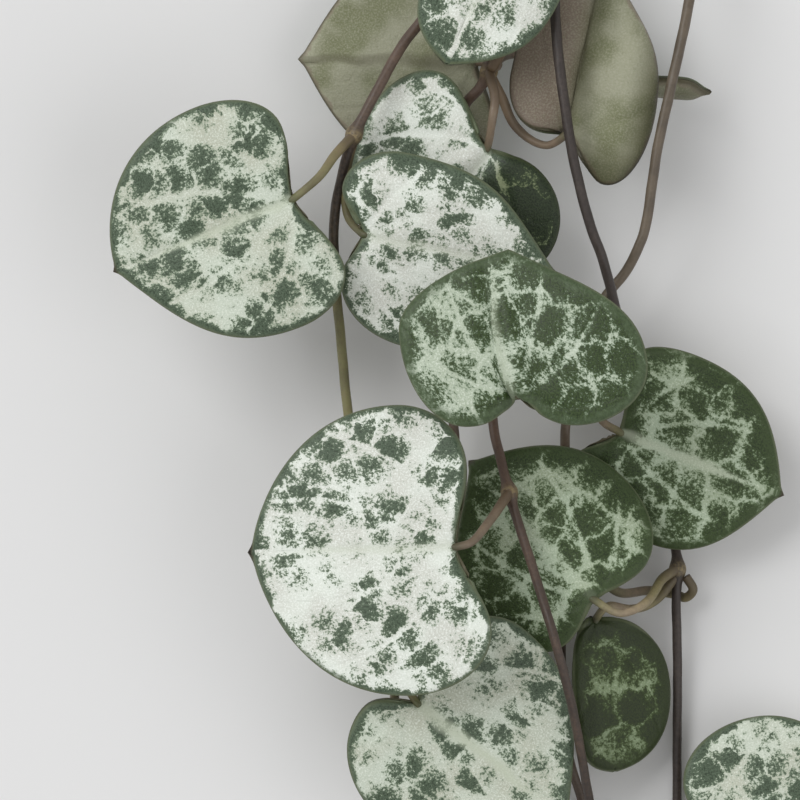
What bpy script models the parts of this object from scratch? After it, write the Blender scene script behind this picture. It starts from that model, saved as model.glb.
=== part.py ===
"""String of hearts: a bunch of trailing strands with heart-shaped leaves, cut and laid flat.

Sizes are in millimetres and are turned into metres when a mesh is made. Plan positions are seen
from above: x to the right, y towards the cut end, z up from the surface that it rests on.
"""

import math

import bmesh
import bpy
import numpy as np
from mathutils import Vector

MM = 0.001
PLAN_CENTRE = (8.72, 1.49)

LEAF_THICKNESS = 0.95
RIM_THICKNESS = 0.62
HALF_STEPS = 11
BLADE_STEPS = 3
SPAN_SAMPLES = 40
# How far a blade's curves run on before they turn, as a share of the stretch that they cross.
LOBE_ROUND = 0.4
SIDE_ROUND = 0.56
TIP_ROUND = 0.52
# How far the outline sets off backwards from the stalk, as a share of how far its lobe reaches back,
# for a blade that doesn't give its own.
NOTCH_SHARE = 0.1
# Above 1, the rows that cross a blade start closer together near its stalk.
MIDRIB_CROWDING = 1.7

STEM_RADIUS = 0.46
STEM_TAPER = (1.12, 0.92)
STALK_RADIUS = 0.43
STALK_TAPER = (1.15, 1.0)
STEM_SIDES = 8
STALK_SIDES = 6
SPLINE_STEPS = 2
# A stalk ends a gap away from its blade, measured past the blade's own thickness there, which is more
# where the stalk rises steeply to it from below.
SEAT_GAP = 0.3
SEAT_AT_NOTCH = 0.28
SEAT_BELOW = 0.62
STEEP_RISE = 0.3

# The leader is the older stem that carries the strands; its underside is worn flat where it rests.
LEADER_RADIUS = 1.25
LEADER_STEPS = 3
LEADER_PATH = [(-1.0, 46.4, 1.0), (4.0, 47.5, 1.0), (12.0, 47.9, 1.0), (20.0, 47.5, 1.0), (27.5, 46.6, 1.0)]
NODE_RADIUS = 0.82
NODE_STRETCH = 1.2
NODE_SIDES = 8
NODE_RINGS = 5

# Each blade: where its stalk meets it, the heading of its tip in degrees, its length in plan,
# the half on its left and on its right as (width, where it is widest, how far the lobe reaches
# back, where the lobe is furthest back, tip angle), the rises of its tip, left and right margins
# over the stalk, and how much it curls along and across.
LEAVES = {
    "leaf_left": dict(at=(-8.9, 16.7, 14.0), heading=202, length=15.9, left=(10.1, 3.2, 1.9, 6.4, 60),
                      right=(10.1, 4.8, 1.4, 6.0, 84), rise=(0.4, 1.0, 1.6), curl=(-1.4, -1.4)),
    "leaf_lower": dict(at=(4.6, -12.2, 17.6), heading=181.5, length=17.0, left=(12.2, 4.1, 2.8, 7.0, 78),
                       right=(11.9, 4.6, 1.1, 6.6, 80), rise=(-0.6, 1.4, 0.4), curl=(-1.8, -1.6)),
    "leaf_front": dict(at=(9.8, 0.3, 20.6), heading=94, length=12.2, left=(9.5, 5.9, 2.2, 4.2, 76),
                       right=(10.8, 1.9, 2.7, 5.0, 58), rise=(1.2, -0.4, 2.6), curl=(-3.0, -1.6),
                       notch=0.75),
    "leaf_middle": dict(at=(-3.1, 13.8, 11.7), heading=348, length=16.6, left=(7.4, 2.2, 2.5, 3.6, 44),
                        right=(8.4, 5.6, 1.0, 3.6, 60), rise=(0.8, 1.2, -0.2), curl=(-0.8, -1.0)),
    "leaf_upper": dict(at=(7.3, 21.1, 9.4), heading=229, length=14.0, left=(9.8, 4.0, 1.4, 4.2, 60),
                       right=(9.6, 2.6, 2.3, 6.2, 60), rise=(-1.4, -0.6, 0.6), curl=(-0.6, -1.0)),
    "leaf_top": dict(at=(10.0, 42.4, 14.2), heading=247, length=15.8, left=(6.6, 6.5, 1.6, 4.0, 66),
                     right=(4.6, 7.0, 1.6, 2.8, 70), rise=(0.8, 0.4, 0.4), curl=(-1.4, -1.2)),
    "leaf_back": dict(at=(6.4, 28.3, 5.8), heading=179, length=14.7, left=(8.8, 3.4, 1.6, 5.2, 62),
                      right=(9.2, 3.6, 1.6, 5.4, 62), rise=(-1.2, -0.8, -1.2), curl=(0.2, -0.4)),
    "leaf_folded": dict(at=(13.9, 22.2, 8.6), heading=78, length=16.3, left=(5.6, 4.2, 0.2, 2.4, 46),
                        right=(6.9, 2.4, 3.5, 3.9, 26), rise=(-1.0, 1.4, 1.8), curl=(-0.6, -2.2)),
    "leaf_sliver": dict(at=(20.6, 26.3, 4.0), heading=355, length=5.3, left=(0.9, 2.3, 0.2, 0.4, 30),
                        right=(0.7, 2.4, 0.2, 0.3, 30), rise=(-0.4, 1.9, -1.9), curl=(0.0, 0.0)),
    "leaf_right": dict(at=(18.4, -2.7, 6.3), heading=339, length=14.5, left=(8.3, 3.6, 0.9, 6.6, 66),
                       right=(7.8, 5.6, 2.7, 3.2, 62), rise=(0.4, 0.8, -0.8), curl=(-1.0, -1.2)),
    "leaf_inner": dict(at=(16.2, -16.7, 9.7), heading=132, length=15.4, left=(8.2, 4.6, 1.2, 4.0, 50),
                       right=(8.7, 5.2, 0.8, 4.4, 70), rise=(-0.4, -1.4, -1.2), curl=(-0.4, -0.9)),
    "leaf_oval": dict(at=(16.4, -18.3, 6.2), heading=277, length=12.9, left=(5.5, 5.8, 0.0, 0.6, 86),
                      right=(2.7, 7.0, 0.2, 0.4, 86), rise=(-1.6, -2.2, 1.2), curl=(-0.4, -0.6)),
    "leaf_bottom": dict(at=(1.4, -25.2, 12.2), heading=322, length=15.9, left=(10.3, 3.0, 1.2, 6.4, 58),
                        right=(9.6, 4.4, 3.3, 3.4, 60), rise=(-2.8, 0.0, -1.4), curl=(-0.8, -1.2),
                        notch=0.8),
    "leaf_hidden": dict(at=(6.0, -24.0, 4.6), heading=340, length=9.2, left=(4.8, 2.6, 0.6, 2.0, 54),
                        right=(4.8, 2.6, 0.6, 2.0, 54), rise=(-0.2, 0.2, 0.2), curl=(-0.4, -0.6)),
    "leaf_corner": dict(at=(26.2, -37.4, 5.2), heading=14, length=15.8, left=(9.7, 5.2, 1.2, 5.0, 56),
                        right=(9.8, 4.6, 1.6, 5.8, 56), rise=(-0.6, 0.6, -0.2), curl=(-1.0, -1.2)),
}

# Each strand: the points that it runs through, with its nodes and the stalks that leave them.
STRANDS = {
    "strand_left": dict(
        path=[(4.3, 45.85, 1.3), (3.9, 41.5, 4.6), (3.4, 36.6, 8.4), (2.2, 32.4, 9.8), (0.1, 29.4, 10.6),
              (-1.9, 25.8, 11.4), (-3.8, 22.1, 11.4), (-4.8, 18.8, 10.6), (-5.5, 15.0, 9.4),
              (-5.4, 10.2, 8.2), (-5.0, 5.6, 7.2), (-4.3, -1.4, 6.6), (-3.2, -8.3, 6.6), (-1.8, -15.0, 7.2),
              (-0.7, -20.4, 7.6), (-0.4, -26.7, 5.0), (0.0, -33.3, 1.6), (0.2, -38.0, 0.36)],
        nodes=[(-3.8, 22.1, 11.4), (-0.7, -20.4, 7.6)],
        stalks={"leaf_left": [(-3.8, 22.1, 11.6), (-5.3, 20.5, 12.6), (-6.8, 18.5, 13.6)],
                "leaf_middle": [(-3.8, 21.9, 11.2), (-4.4, 19.6, 10.7), (-4.6, 17.2, 10.1),
                                (-4.3, 15.2, 10.1)],
                "leaf_bottom": [(-0.7, -20.4, 7.8), (-0.1, -22.0, 9.6), (0.5, -23.8, 11.6)]}),
    "strand_right": dict(
        path=[(13.3, 46.2, 1.3), (13.1, 42.6, 4.6), (12.9, 37.4, 9.4), (12.9, 33.0, 11.2), (13.2, 28.7, 11.6),
              (13.8, 24.0, 11.7), (14.5, 19.9, 11.7), (15.7, 15.0, 11.5), (17.0, 11.4, 10.9),
              (18.2, 6.8, 8.2), (19.0, 2.4, 4.6), (20.0, -1.7, 3.0), (21.3, -6.7, 2.5), (22.9, -11.6, 2.6),
              (23.3, -14.2, 2.9), (23.2, -16.8, 2.7), (23.3, -21.7, 2.1), (23.3, -30.0, 1.2),
              (23.3, -36.6, 0.6), (23.4, -40.0, 0.36)],
        nodes=[(19.4, 0.6, 3.7), (23.3, -14.2, 2.9), (23.3, -36.6, 0.9)],
        stalks={"leaf_right": [(19.4, 0.6, 3.9), (18.0, 0.6, 4.1), (16.9, -0.4, 4.5), (16.9, -1.7, 4.8)],
                "leaf_inner": [(23.2, -14.2, 3.1), (21.9, -15.1, 4.9), (20.6, -16.9, 7.2),
                               (18.4, -17.8, 8.9)],
                "leaf_oval": [(23.2, -14.7, 2.9), (21.4, -16.8, 3.9), (19.4, -17.5, 5.8), (17.5, -17.2, 7.2)],
                "leaf_corner": [(23.3, -36.6, 0.8), (24.0, -37.4, 2.2), (24.9, -37.7, 4.2)]},
        shoots=[[(24.0, -14.8, 2.8), (24.6, -15.9, 2.6), (24.0, -16.6, 1.9), (23.0, -16.3, 1.4),
                 (20.8, -16.0, 2.4), (18.6, -16.2, 4.0), (17.2, -15.4, 5.4)]]),
    "strand_outer": dict(
        path=[(25.5, 44.9, 1.3), (25.2, 40.8, 3.6), (24.6, 36.0, 7.0), (23.7, 31.0, 8.8), (22.4, 25.2, 9.5),
              (21.5, 21.1, 9.6), (20.6, 15.0, 9.3), (19.9, 12.8, 9.1), (18.9, 10.8, 8.5), (17.0, 8.4, 8.0),
              (15.4, 5.8, 7.5), (14.5, 2.5, 7.2), (13.9, -2.0, 6.0), (13.8, -5.0, 5.0), (13.7, -10.0, 4.0),
              (13.6, -16.7, 3.2), (13.6, -25.0, 2.4), (14.2, -29.9, 1.8), (15.2, -33.3, 1.2),
              (16.1, -36.4, 0.7)],
        nodes=[],
        stalks={}),
    "strand_centre": dict(
        path=[(8.3, 46.0, 1.3), (8.3, 42.6, 4.8), (8.2, 38.6, 8.2), (7.8, 33.3, 8.8), (7.6, 30.0, 9.0),
              (7.4, 27.4, 8.8), (6.6, 26.0, 8.4), (5.4, 24.6, 7.6), (4.8, 21.7, 6.4), (5.2, 16.7, 5.4),
              (6.2, 10.0, 5.4), (7.3, 3.3, 7.8), (7.8, -2.2, 10.0), (8.4, -5.0, 10.8), (9.1, -7.7, 11.4),
              (9.9, -10.4, 12.0), (10.8, -13.2, 12.4), (11.8, -16.4, 12.6), (12.9, -20.0, 13.2),
              (14.0, -24.2, 12.7), (14.9, -28.3, 10.6), (15.7, -32.8, 7.2), (16.8, -38.6, 3.4)],
        nodes=[(7.4, 27.4, 8.9), (7.3, 3.3, 7.8), (9.1, -7.7, 11.4)],
        stalks={"leaf_upper": [(7.4, 27.4, 9.2), (7.9, 25.4, 10.6), (7.7, 23.4, 11.1)],
                "leaf_folded": [(7.5, 27.2, 8.8), (8.5, 25.3, 7.8), (9.5, 23.1, 6.9), (10.9, 21.8, 6.8),
                                (12.4, 21.3, 7.6)],
                "leaf_back": [(7.4, 27.6, 8.6), (8.1, 27.9, 7.6), (8.0, 28.2, 6.6)],
                "leaf_top": [(7.6, 27.6, 9.4), (9.4, 31.0, 11.0), (10.4, 36.6, 10.8), (10.4, 40.6, 11.0)],
                "leaf_sliver": [(7.6, 27.7, 8.6), (8.4, 28.6, 6.8), (9.6, 29.0, 4.6), (12.0, 28.7, 3.4),
                                (15.4, 27.8, 3.0), (18.2, 26.8, 3.3)],
                "leaf_front": [(7.3, 3.3, 8.4), (8.4, 2.8, 12.0), (9.4, 1.8, 16.0), (9.8, 1.1, 18.4)],
                "leaf_lower": [(9.1, -7.7, 11.6), (8.2, -9.0, 13.6), (7.0, -10.6, 16.0),
                               (5.9, -11.8, 17.4)]}),
    "strand_short": dict(
        path=[(6.1, 6.2, 5.0), (5.4, 4.6, 5.0), (4.7, 1.6, 5.2), (4.5, -1.8, 5.4), (4.6, -3.6, 5.2),
              (4.8, -10.0, 4.8), (5.2, -16.7, 4.6), (5.2, -20.6, 4.6), (5.3, -22.8, 4.6)],
        nodes=[],
        stalks={}),
}

# Each finish: its colour and its roughness.
FINISHES = {
    "dark_stem": ((0.075, 0.052, 0.040), 0.55),
    "brown_stem": ((0.13, 0.10, 0.075), 0.55),
    "woody_stem": ((0.16, 0.11, 0.07), 0.7),
    "silver_leaf": ((0.42, 0.47, 0.38), 0.45),
    "green_leaf": ((0.09, 0.13, 0.06), 0.4),
    "leaf_underside": ((0.25, 0.25, 0.17), 0.55),
}
GREEN_LEAVES = ("leaf_right", "leaf_inner", "leaf_oval", "leaf_hidden", "leaf_front")
UNDERSIDE_LEAVES = ("leaf_back", "leaf_folded", "leaf_sliver")


def clear_scene():
    for obj in list(bpy.data.objects):
        bpy.data.objects.remove(obj)


def material(name, colour, roughness):
    made = bpy.data.materials.new(name)
    made.use_nodes = True
    shader = made.node_tree.nodes["Principled BSDF"]
    shader.inputs["Base Color"].default_value = (*colour, 1.0)
    shader.inputs["Roughness"].default_value = roughness
    return made


def new_object(name, points, faces, look=None):
    mesh = bpy.data.meshes.new(name)
    shift = (PLAN_CENTRE[0], PLAN_CENTRE[1], 0.0)
    mesh.from_pydata([[(p - s) * MM for p, s in zip(point, shift)] for point in points], [], faces)
    mesh.validate()
    shell = bmesh.new()
    shell.from_mesh(mesh)
    bmesh.ops.triangulate(shell, faces=shell.faces[:])
    bmesh.ops.recalc_face_normals(shell, faces=shell.faces[:])
    shell.to_mesh(mesh)
    shell.free()
    obj = bpy.data.objects.new(name, mesh)
    bpy.context.scene.collection.objects.link(obj)
    if look:
        mesh.materials.append(look)
    return obj


def bezier(a, b, c, d, t):
    s = 1.0 - t
    return s**3 * a + 3 * s * s * t * b + 3 * s * t * t * c + t**3 * d


def half_outline(half, length, notch, steps):
    """Points from the stalk round the lobe to the tip, in leaf coordinates, with v positive."""
    width, widest, back, lobe, tip_angle = half
    tip = math.radians(tip_angle)
    reach = TIP_ROUND * (length - widest)
    turn = SIDE_ROUND * (widest + back)
    stalk, behind = np.array((0.0, 0.0)), np.array((-back, lobe))
    side, end = np.array((widest, width)), np.array((length, 0.0))
    spans = [
        (stalk, stalk + (-notch * back, LOBE_ROUND * lobe), behind - (0.0, LOBE_ROUND * lobe), behind),
        (behind, behind + (0.0, SIDE_ROUND * (width - lobe)), side - (turn, 0.0), side),
        (side, side + (SIDE_ROUND * (length - widest), 0.0),
         end + (-reach * math.cos(tip), reach * math.sin(tip)), end),
    ]
    fine = np.array([bezier(*span, t) for span in spans for t in np.linspace(0, 1, SPAN_SAMPLES)])
    run = np.concatenate([[0.0], np.cumsum(np.hypot(*np.diff(fine, axis=0).T))])
    at = np.linspace(0, run[-1], steps + 1)
    return np.column_stack([np.interp(at, run, fine[:, k]) for k in range(2)])


def blade_height(leaf, u, v):
    """How far the blade's middle lies above its stalk."""
    tip_rise, left_rise, right_rise = leaf["rise"]
    along_curl, across_curl = leaf["curl"]
    s = u / leaf["length"]
    rise = left_rise if v >= 0 else right_rise
    t = abs(v) / max(leaf["left"][0], leaf["right"][0])
    return tip_rise * s + along_curl * s * s + rise * t + across_curl * t * t


def leaf_grid(leaf):
    """The middle surface as points, triangles and border, and how near the rim each point is."""
    length = leaf["length"]
    points, rim, rows = [], [], {}
    for side, half in ((1, leaf["left"]), (-1, leaf["right"])):
        outline = half_outline(half, length, leaf.get("notch", NOTCH_SHARE), HALF_STEPS)
        for i, (u, v) in enumerate(outline):
            inner = length * (i / HALF_STEPS) ** MIDRIB_CROWDING
            for j in range(BLADE_STEPS + 1):
                t = j / BLADE_STEPS
                if (i in (0, HALF_STEPS) and j) or (side < 0 and j == 0):
                    continue
                rows[side, i, j] = len(points)
                points.append((inner + (u - inner) * t, side * v * t))
                rim.append(t if 0 < i < HALF_STEPS else 1.0)
    for i in range(HALF_STEPS + 1):
        rows[-1, i, 0] = rows[1, i, 0]
        for side in (1, -1):
            for j in range(1, BLADE_STEPS + 1):
                rows.setdefault((side, i, j), rows[1, i, 0])
    faces = []
    for side in (1, -1):
        for i in range(HALF_STEPS):
            for j in range(BLADE_STEPS):
                a, b = rows[side, i, j], rows[side, i + 1, j]
                c, d = rows[side, i + 1, j + 1], rows[side, i, j + 1]
                for face in ((a, b, c), (a, c, d)):
                    if len(set(face)) == 3:
                        faces.append(face if side < 0 else face[::-1])
    border = [rows[1, i, BLADE_STEPS] for i in range(HALF_STEPS + 1)]
    border += [rows[-1, i, BLADE_STEPS] for i in range(HALF_STEPS - 1, 0, -1)]
    return points, faces, border, rim


def placed(leaf, u, v):
    """The blade's middle at leaf coordinates u and v, in plan and height."""
    angle = math.radians(leaf["heading"])
    x, y, z = leaf["at"]
    return Vector((x + u * math.cos(angle) - v * math.sin(angle),
                   y + u * math.sin(angle) + v * math.cos(angle),
                   z + blade_height(leaf, u, v)))


def make_leaf(name, look):
    leaf = LEAVES[name]
    flat, faces, border, rim = leaf_grid(leaf)
    middle = [placed(leaf, u, v) for u, v in flat]
    normals = [Vector() for _ in middle]
    for a, b, c in faces:
        normal = (middle[b] - middle[a]).cross(middle[c] - middle[a])
        for k in (a, b, c):
            normals[k] += normal
    if sum(n.z for n in normals) < 0:
        normals = [-n for n in normals]
    half = [0.5 * (LEAF_THICKNESS + (RIM_THICKNESS - LEAF_THICKNESS) * t**2) for t in rim]
    top = [m + n.normalized() * h for m, n, h in zip(middle, normals, half)]
    base = [m - n.normalized() * h for m, n, h in zip(middle, normals, half)]
    count = len(middle)
    shell = list(faces) + [tuple(k + count for k in reversed(face)) for face in faces]
    for a, b in zip(border, border[1:] + border[:1]):
        shell += [(a, b, b + count), (a, b + count, a + count)]
    return new_object(name, top + base, shell, look)


def smooth_path(points, steps):
    """A Catmull-Rom curve through the points."""
    points = [np.array(p, float) for p in points]
    ends = [2 * points[0] - points[1], *points, 2 * points[-1] - points[-2]]
    curve = []
    for a, b, c, d in zip(ends, ends[1:], ends[2:], ends[3:]):
        for k in range(steps):
            t = k / steps
            curve.append(0.5 * (2 * b + (c - a) * t + (2 * a - 5 * b + 4 * c - d) * t * t
                                + (3 * b - a - 3 * c + d) * t**3))
    curve.append(points[-1])
    return curve


def tube(name, curve, radii, sides, floor=None, look=None):
    """A closed tube round the curve, with one side facing down."""
    points, faces = [], []
    up = np.array((0.0, 0.0, 1.0))
    for i, centre in enumerate(curve):
        ahead = curve[min(i + 1, len(curve) - 1)] - curve[max(i - 1, 0)]
        ahead = ahead / np.linalg.norm(ahead)
        across = np.cross(ahead, up)
        across /= np.linalg.norm(across)
        upward = np.cross(across, ahead)
        for k in range(sides):
            turn = 2 * math.pi * (k + 0.5) / sides - 0.5 * math.pi
            point = centre + radii[i] * (math.cos(turn) * across + math.sin(turn) * upward)
            if floor is not None:
                point[2] = max(point[2], floor)
            points.append(point)
    for i in range(len(curve) - 1):
        for k in range(sides):
            a, b = i * sides + k, i * sides + (k + 1) % sides
            faces.append((a, b, b + sides, a + sides))
    faces.append(tuple(range(sides))[::-1])
    faces.append(tuple(range((len(curve) - 1) * sides, len(curve) * sides)))
    return new_object(name, points, faces, look)


def bead(centre, radius):
    """A small round swelling, a little longer than wide."""
    x, y, z = centre
    shell = bmesh.new()
    bmesh.ops.create_uvsphere(shell, u_segments=NODE_SIDES, v_segments=NODE_RINGS, radius=radius)
    points = [(x + v.co.x, y + NODE_STRETCH * v.co.y, z + v.co.z) for v in shell.verts]
    faces = [[v.index for v in face.verts] for face in shell.faces]
    shell.free()
    return new_object("bead", points, faces)


def fuse(base, pieces):
    """Joins the pieces to the base as one solid."""
    if not pieces:
        return
    group = bpy.data.collections.new("joined")
    bpy.context.scene.collection.children.link(group)
    for piece in pieces:
        bpy.context.scene.collection.objects.unlink(piece)
        group.objects.link(piece)
    union = base.modifiers.new("union", "BOOLEAN")
    union.operation = "UNION"
    union.operand_type = "COLLECTION"
    union.collection = group
    union.solver = "EXACT"
    bpy.context.view_layer.update()
    result = bpy.data.meshes.new_from_object(base.evaluated_get(bpy.context.evaluated_depsgraph_get()))
    base.modifiers.clear()
    base.data = result
    for piece in pieces:
        bpy.data.objects.remove(piece)
    bpy.data.collections.remove(group)


def stalk(leaf_name, points):
    """A leaf stalk from its node to just short of the blade's notch."""
    leaf = LEAVES[leaf_name]
    last = Vector(points[-1])
    notch = placed(leaf, 0.0, 0.0)
    run = (notch - last).normalized()
    reach = SEAT_BELOW if abs(run.z) > STEEP_RISE else SEAT_AT_NOTCH
    end = notch - run * (SEAT_GAP + reach)
    curve = smooth_path([*points, tuple(end)], SPLINE_STEPS)
    radii = [STALK_RADIUS * share for share in np.linspace(*STALK_TAPER, len(curve))]
    return tube("stalk", curve, radii, STALK_SIDES)


def make_strand(name, look):
    strand = STRANDS[name]
    curve = smooth_path(strand["path"], SPLINE_STEPS)
    radii = [STEM_RADIUS * share for share in np.linspace(*STEM_TAPER, len(curve))]
    base = tube(name, curve, radii, STEM_SIDES, floor=0.0, look=look)
    pieces = [bead(node, NODE_RADIUS) for node in strand["nodes"]]
    pieces += [stalk(leaf, points) for leaf, points in strand["stalks"].items()]
    for points in strand.get("shoots", []):
        shoot = smooth_path(points, SPLINE_STEPS)
        pieces.append(tube("shoot", shoot, [STALK_RADIUS] * len(shoot), STALK_SIDES))
    fuse(base, pieces)


def leaf_finish(name):
    if name in GREEN_LEAVES:
        return "green_leaf"
    return "leaf_underside" if name in UNDERSIDE_LEAVES else "silver_leaf"


def make_leader(look):
    curve = smooth_path(LEADER_PATH, LEADER_STEPS)
    tube("leader_stem", curve, [LEADER_RADIUS] * len(curve), STEM_SIDES, floor=0.0, look=look)


def build():
    clear_scene()
    looks = {name: material(name, colour, roughness) for name, (colour, roughness) in FINISHES.items()}
    for name in LEAVES:
        make_leaf(name, looks[leaf_finish(name)])
    for name in STRANDS:
        make_strand(name, looks["brown_stem" if name == "strand_outer" else "dark_stem"])
    make_leader(looks["woody_stem"])


build()
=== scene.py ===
import math

import bpy
import numpy as np
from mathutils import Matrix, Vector


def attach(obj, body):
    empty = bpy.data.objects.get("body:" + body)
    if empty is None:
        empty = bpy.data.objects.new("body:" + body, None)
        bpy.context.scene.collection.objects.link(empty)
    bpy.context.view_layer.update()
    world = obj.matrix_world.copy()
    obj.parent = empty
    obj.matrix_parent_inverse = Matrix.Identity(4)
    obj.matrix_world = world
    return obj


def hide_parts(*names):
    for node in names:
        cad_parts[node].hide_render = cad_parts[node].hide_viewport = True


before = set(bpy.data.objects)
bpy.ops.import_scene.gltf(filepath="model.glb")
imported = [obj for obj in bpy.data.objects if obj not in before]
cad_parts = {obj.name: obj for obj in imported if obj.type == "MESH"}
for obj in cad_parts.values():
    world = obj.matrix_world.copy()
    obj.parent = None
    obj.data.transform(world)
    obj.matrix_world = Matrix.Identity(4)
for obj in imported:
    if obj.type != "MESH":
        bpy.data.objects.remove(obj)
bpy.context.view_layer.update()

# All sizes are in millimetres, in plan as seen from above, and become metres in newMesh.
planCentre = (8.72, 1.49)
mm = 0.001


def srgb(red, green, blue):
    parts = [c / 255 for c in (red, green, blue)]
    return tuple(p / 12.92 if p <= 0.04045 else ((p + 0.055) / 1.055) ** 2.4 for p in parts) + (1.0,)


def newObject(name, data):
    obj = bpy.data.objects.new(name, data)
    bpy.context.scene.collection.objects.link(obj)
    return obj


def newMesh(name, points, faces):
    mesh = bpy.data.meshes.new(name)
    spots = np.array(points, float) - np.array([*planCentre, 0.0])
    mesh.from_pydata((spots * mm).tolist(), [], faces)
    mesh.polygons.foreach_set("use_smooth", [True] * len(mesh.polygons))
    return newObject(name, mesh)


def newMaterial(name):
    made = bpy.data.materials.new(name)
    made.use_nodes = True
    return made, made.node_tree, made.node_tree.nodes["Principled BSDF"]


# What the colours go by: on a leaf u, v and the distance from the rim, on a stem how far along a spot is, how
# near to a node, and 1 on a stalk
def setPlace(obj, values):
    spots = obj.data.attributes.new("place", "FLOAT_VECTOR", "POINT")
    spots.data.foreach_set("vector", np.array(values, float).ravel())


def standInFor(obj, facts):
    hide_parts(facts["node"])
    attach(obj, "root")


# Small helpers for shader trees


def addNode(tree, kind, **settings):
    node = tree.nodes.new(kind)
    for name, value in settings.items():
        setattr(node, name, value)
    return node


def plug(tree, socket, value):
    if isinstance(value, bpy.types.NodeSocket):
        tree.links.new(value, socket)
    elif value is not None:
        socket.default_value = value


def calc(tree, operation, a, b=None, c=None):
    node = addNode(tree, "ShaderNodeMath", operation=operation)
    for socket, value in zip(node.inputs, (a, b, c)):
        plug(tree, socket, value)
    return node.outputs[0]


def plus(tree, a, b):
    return calc(tree, "ADD", a, b)


def minus(tree, a, b):
    return calc(tree, "SUBTRACT", a, b)


def times(tree, a, b):
    return calc(tree, "MULTIPLY", a, b)


def ramp(tree, value, low, high, start=0.0, end=1.0):
    node = addNode(tree, "ShaderNodeMapRange", interpolation_type="SMOOTHSTEP")
    settings = {"Value": value, "From Min": low, "From Max": high, "To Min": start, "To Max": end}
    for name, given in settings.items():
        plug(tree, node.inputs[name], given)
    return node.outputs[0]


def mixColour(tree, factor, a, b, blend="MIX"):
    node = addNode(tree, "ShaderNodeMix", data_type="RGBA", blend_type=blend)
    plug(tree, node.inputs[0], factor)
    plug(tree, node.inputs[6], a)
    plug(tree, node.inputs[7], b)
    return node.outputs[2]


def noise(tree, vector, scale, detail=2.0, roughness=0.5):
    node = addNode(tree, "ShaderNodeTexNoise")
    plug(tree, node.inputs["Vector"], vector)
    for name, given in (("Scale", scale), ("Detail", detail), ("Roughness", roughness)):
        plug(tree, node.inputs[name], given)
    return node.outputs


def splitUp(tree, vector):
    node = addNode(tree, "ShaderNodeSeparateXYZ")
    plug(tree, node.inputs[0], vector)
    return node.outputs


def shifted(tree, vector, by, operation="ADD"):
    node = addNode(tree, "ShaderNodeVectorMath", operation=operation)
    plug(tree, node.inputs[0], vector)
    plug(tree, node.inputs[1], by)
    return node.outputs[0]


def wandering(tree, vector, scale, amount):
    shake = shifted(tree, noise(tree, vector, scale)["Color"], (0.5, 0.5, 0.5), "SUBTRACT")
    sized = addNode(tree, "ShaderNodeVectorMath", operation="SCALE")
    plug(tree, sized.inputs[0], shake)
    plug(tree, sized.inputs["Scale"], amount)
    return shifted(tree, vector, sized.outputs[0])


def flatPlace(tree, vector, seed):
    parts = splitUp(tree, vector)
    flat = addNode(tree, "ShaderNodeCombineXYZ")
    for k in range(2):
        plug(tree, flat.inputs[k], parts[k])
    return shifted(tree, flat.outputs[0], seed)


def newGroup(name, inputs, outputs):
    tree = bpy.data.node_groups.new(name, "ShaderNodeTree")
    for label, kind, value in inputs:
        socket = tree.interface.new_socket(label, in_out="INPUT", socket_type=kind)
        if value is not None:
            socket.default_value = value
    for label, kind in outputs:
        tree.interface.new_socket(label, in_out="OUTPUT", socket_type=kind)
    return tree, tree.nodes.new("NodeGroupInput").outputs, tree.nodes.new("NodeGroupOutput").inputs


def useGroup(tree, group, values):
    node = addNode(tree, "ShaderNodeGroup", node_tree=group)
    for label, value in values.items():
        plug(tree, node.inputs[label], value)
    return node.outputs


def bumpUp(tree, shader, facts, height):
    bump = addNode(tree, "ShaderNodeBump")
    bump.inputs["Strength"].default_value = facts["bump"]
    bump.inputs["Distance"].default_value = facts["bumpHeight"]
    plug(tree, bump.inputs["Height"], height)
    plug(tree, shader.inputs["Normal"], bump.outputs[0])


# Veins that fan out from the notch: their angle from the midrib and their bend towards the tip for each
# millimetre, in degrees, and their width. They thin to narrowShare of it between the distances in narrowing,
# fade sideways between core and blur times their width, and stray by wander.
veinFan = dict(
    angles=(0.0, 36.0, 74.0, 116.0), bend=(0.0, 1.3, 2.2, 2.6), width=(0.42, 0.30, 0.28, 0.24),
    narrowing=(2.0, 14.0), narrowShare=0.5, core=0.2, blur=2.2, wanderScale=0.4, wander=0.9,
)


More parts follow.
